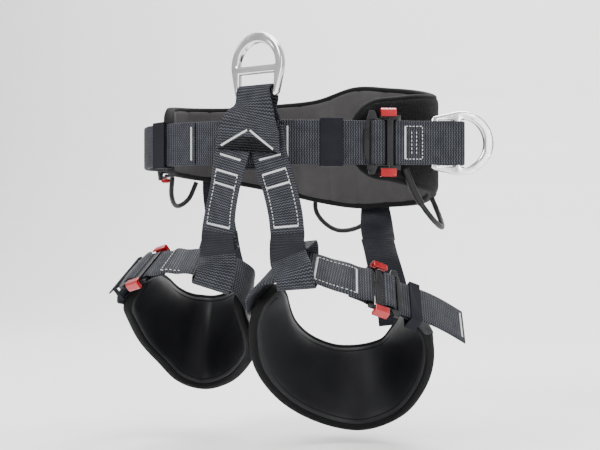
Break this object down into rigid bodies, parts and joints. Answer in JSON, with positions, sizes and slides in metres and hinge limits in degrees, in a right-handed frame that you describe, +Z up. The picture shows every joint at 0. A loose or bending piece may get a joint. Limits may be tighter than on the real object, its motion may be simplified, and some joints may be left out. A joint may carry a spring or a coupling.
{
  "type": "tree climbing saddle",
  "caption": "Padded waist belt with leg loops, front and side attachment rings, quick-connect buckles and accessory loops for tree climbing.",
  "frame": {"origin": "centre of the waist loop, at the middle height of the waist webbing", "axes": "+X towards the wearer's left, -Y towards the wearer's front, +Z up"},
  "size_m": [0.3929, 0.2933, 0.4187],
  "materials": {
    "webbing": "cross-ribbed polyester webbing, matt",
    "pad_lining": "soft lining with sewn vertical channels",
    "mesh": "open spacer mesh with bound edges",
    "foam": "closed cell foam core with bound edge",
    "leg_pad": "smooth padded fabric with bound edges",
    "leg_lining": "brushed lining",
    "ring_aluminium": "forged and polished",
    "buckle_black": "black anodised",
    "tab_red": "red anodised, glossy",
    "spring_steel": "spring steel",
    "elastic": "knitted elastic",
    "tube_black": "flexible plastic sleeve, satin"
  },
  "bodies": {
    "saddle": {"waist_pad_foam": "foam", "waist_pad_lining": "pad_lining", "waist_mesh_cover": "mesh", "back_webbing": "webbing", "side_strap_l": "webbing", "side_strap_r": "webbing", "front_webbing": "webbing", "waist_tail_r": "webbing", "front_ring_wrap": "webbing", "front_strap_l": "webbing", "front_strap_r": "webbing", "riser_upper_l": "webbing", "riser_upper_r": "webbing", "buckle_frame_waist_l": "buckle_black", "latch_spring_waist_l": "spring_steel", "buckle_frame_waist_r": "buckle_black", "latch_spring_waist_r": "spring_steel"},
    "front_ring": {"front_d_ring": "ring_aluminium"},
    "side_ring_l": {"side_d_ring_l": "ring_aluminium"},
    "side_ring_r": {"side_d_ring_r": "ring_aluminium"},
    "leg_loop_l": {"leg_pad_l": "leg_pad", "leg_pad_lining_l": "leg_lining", "leg_front_strap_l": "webbing", "leg_webbing_l": "webbing", "strap_loop_l": "webbing", "riser_lower_l": "webbing", "buckle_frame_leg_l": "buckle_black", "latch_spring_leg_l": "spring_steel"},
    "leg_loop_r": {"leg_pad_r": "leg_pad", "leg_pad_lining_r": "leg_lining", "leg_front_strap_r": "webbing", "leg_webbing_r": "webbing", "strap_loop_r": "webbing", "riser_lower_r": "webbing", "buckle_frame_leg_r": "buckle_black", "latch_spring_leg_r": "spring_steel"},
    "tongue_waist_l": {"buckle_tongue_waist_l": "buckle_black", "waist_tail_l": "webbing"},
    "tab_waist_l_upper": {"release_tab_waist_l_upper": "tab_red"},
    "tab_waist_l_lower": {"release_tab_waist_l_lower": "tab_red"},
    "keeper_waist_l": {"waist_keeper_l": "elastic"},
    "tongue_waist_r": {"buckle_tongue_waist_r": "buckle_black", "waist_fold_r": "webbing"},
    "tab_waist_r_lower": {"release_tab_waist_r_lower": "tab_red"},
    "tab_waist_r_upper": {"release_tab_waist_r_upper": "tab_red"},
    "keeper_waist_r": {"waist_keeper_r": "elastic"},
    "tongue_leg_l": {"buckle_tongue_leg_l": "buckle_black", "leg_tail_l": "webbing"},
    "tab_leg_l_lower": {"release_tab_leg_l_lower": "tab_red"},
    "tab_leg_l_upper": {"release_tab_leg_l_upper": "tab_red"},
    "keeper_leg_l": {"leg_keeper_l": "elastic"},
    "tongue_leg_r": {"buckle_tongue_leg_r": "buckle_black", "leg_tail_r": "webbing", "leg_keeper_r": "elastic"},
    "tab_leg_r_upper": {"release_tab_leg_r_upper": "tab_red"},
    "tab_leg_r_lower": {"release_tab_leg_r_lower": "tab_red"},
    "gear_loop_l_body": {"gear_loop_l": "tube_black"},
    "gear_loop_back_body": {"gear_loop_back": "tube_black"},
    "gear_loop_r_body": {"gear_loop_r": "tube_black"}
  },
  "joints": [
    {"name": "front_ring_swing", "type": "hinge", "parent": "saddle", "child": "front_ring", "pos_m": [0.012, -0.125, 0.0485], "axis": [0.9511, -0.309, 0], "range_deg": [-35, 110]},
    {"name": "side_ring_l_swing", "type": "hinge", "parent": "saddle", "child": "side_ring_l", "pos_m": [0.1925, -0.02931, 0], "axis": [0, 0, -1], "range_deg": [0, 60]},
    {"name": "side_ring_r_swing", "type": "hinge", "parent": "saddle", "child": "side_ring_r", "pos_m": [-0.15403, 0.09414, 0], "axis": [0, 0, 1], "range_deg": [0, 25]},
    {"name": "leg_loop_l_swing", "type": "hinge", "parent": "saddle", "child": "leg_loop_l", "pos_m": [0.041, -0.117, -0.096], "axis": [1, 0, 0], "range_deg": [0, 9]},
    {"name": "leg_loop_r_swing", "type": "hinge", "parent": "saddle", "child": "leg_loop_r", "pos_m": [-0.033, -0.119, -0.091], "axis": [1, 0, 0], "range_deg": [0, 9]},
    {"name": "tongue_waist_l_slide", "type": "slide", "parent": "saddle", "child": "tongue_waist_l", "axis": [-0.9089, -0.4171, 0], "range_m": [0, 0.016]},
    {"name": "tab_waist_l_upper_press", "type": "slide", "parent": "saddle", "child": "tab_waist_l_upper", "axis": [0, 0, -1], "range_m": [0, 0.002], "stiffness_N_per_m": 600, "springref_m": -0.002},
    {"name": "tab_waist_l_lower_press", "type": "slide", "parent": "saddle", "child": "tab_waist_l_lower", "axis": [0, 0, 1], "range_m": [0, 0.002], "stiffness_N_per_m": 600, "springref_m": -0.002},
    {"name": "keeper_waist_l_slide", "type": "slide", "parent": "saddle", "child": "keeper_waist_l", "axis": [0.9089, 0.4171, 0], "range_m": [-0.01, 0.006]},
    {"name": "tongue_waist_r_slide", "type": "slide", "parent": "saddle", "child": "tongue_waist_r", "axis": [0.0305, -0.9995, 0], "range_m": [0, 0.016]},
    {"name": "tab_waist_r_lower_press", "type": "slide", "parent": "saddle", "child": "tab_waist_r_lower", "axis": [0, 0, 1], "range_m": [0, 0.002], "stiffness_N_per_m": 600, "springref_m": -0.002},
    {"name": "tab_waist_r_upper_press", "type": "slide", "parent": "saddle", "child": "tab_waist_r_upper", "axis": [0, 0, -1], "range_m": [0, 0.002], "stiffness_N_per_m": 600, "springref_m": -0.002},
    {"name": "keeper_waist_r_slide", "type": "slide", "parent": "saddle", "child": "keeper_waist_r", "axis": [-0.8304, 0.5572, 0], "range_m": [-0.003, 0.004]},
    {"name": "tongue_leg_l_slide", "type": "slide", "parent": "leg_loop_l", "child": "tongue_leg_l", "axis": [0.7323, 0.5912, -0.3379], "range_m": [0, 0.008]},
    {"name": "tab_leg_l_lower_press", "type": "slide", "parent": "leg_loop_l", "child": "tab_leg_l_lower", "axis": [-0.2354, 0.6855, 0.689], "range_m": [0, 0.002], "stiffness_N_per_m": 600, "springref_m": -0.002},
    {"name": "tab_leg_l_upper_press", "type": "slide", "parent": "leg_loop_l", "child": "tab_leg_l_upper", "axis": [0.2354, -0.6855, -0.689], "range_m": [0, 0.002], "stiffness_N_per_m": 600, "springref_m": -0.002},
    {"name": "keeper_leg_l_slide", "type": "slide", "parent": "leg_loop_l", "child": "keeper_leg_l", "axis": [-0.7323, -0.5912, 0.3379], "range_m": [-0.001, 0.002]},
    {"name": "tongue_leg_r_slide", "type": "slide", "parent": "leg_loop_r", "child": "tongue_leg_r", "axis": [-0.9299, 0.2675, -0.2523], "range_m": [0, 0.003]},
    {"name": "tab_leg_r_upper_press", "type": "slide", "parent": "leg_loop_r", "child": "tab_leg_r_upper", "axis": [-0.0912, -0.8324, -0.5466], "range_m": [0, 0.002], "stiffness_N_per_m": 600, "springref_m": -0.002},
    {"name": "tab_leg_r_lower_press", "type": "slide", "parent": "leg_loop_r", "child": "tab_leg_r_lower", "axis": [0.0912, 0.8324, 0.5466], "range_m": [0, 0.002], "stiffness_N_per_m": 600, "springref_m": -0.002},
    {"name": "gear_loop_l_swing", "type": "hinge", "parent": "saddle", "child": "gear_loop_l_body", "pos_m": [0.141, -0.041, -0.025], "axis": [-0.0906, -0.9402, 0.3285], "range_deg": [0, 45]},
    {"name": "gear_loop_back_swing", "type": "hinge", "parent": "saddle", "child": "gear_loop_back_body", "pos_m": [-0.019, 0.1385, -0.047], "axis": [0.9999, 0.0065, -0.013], "range_deg": [0, 60]},
    {"name": "gear_loop_r_swing", "type": "hinge", "parent": "saddle", "child": "gear_loop_r_body", "pos_m": [-0.143, 0, -0.0295], "axis": [0.1031, 0.9931, -0.0562], "range_deg": [0, 45]}
  ]
}
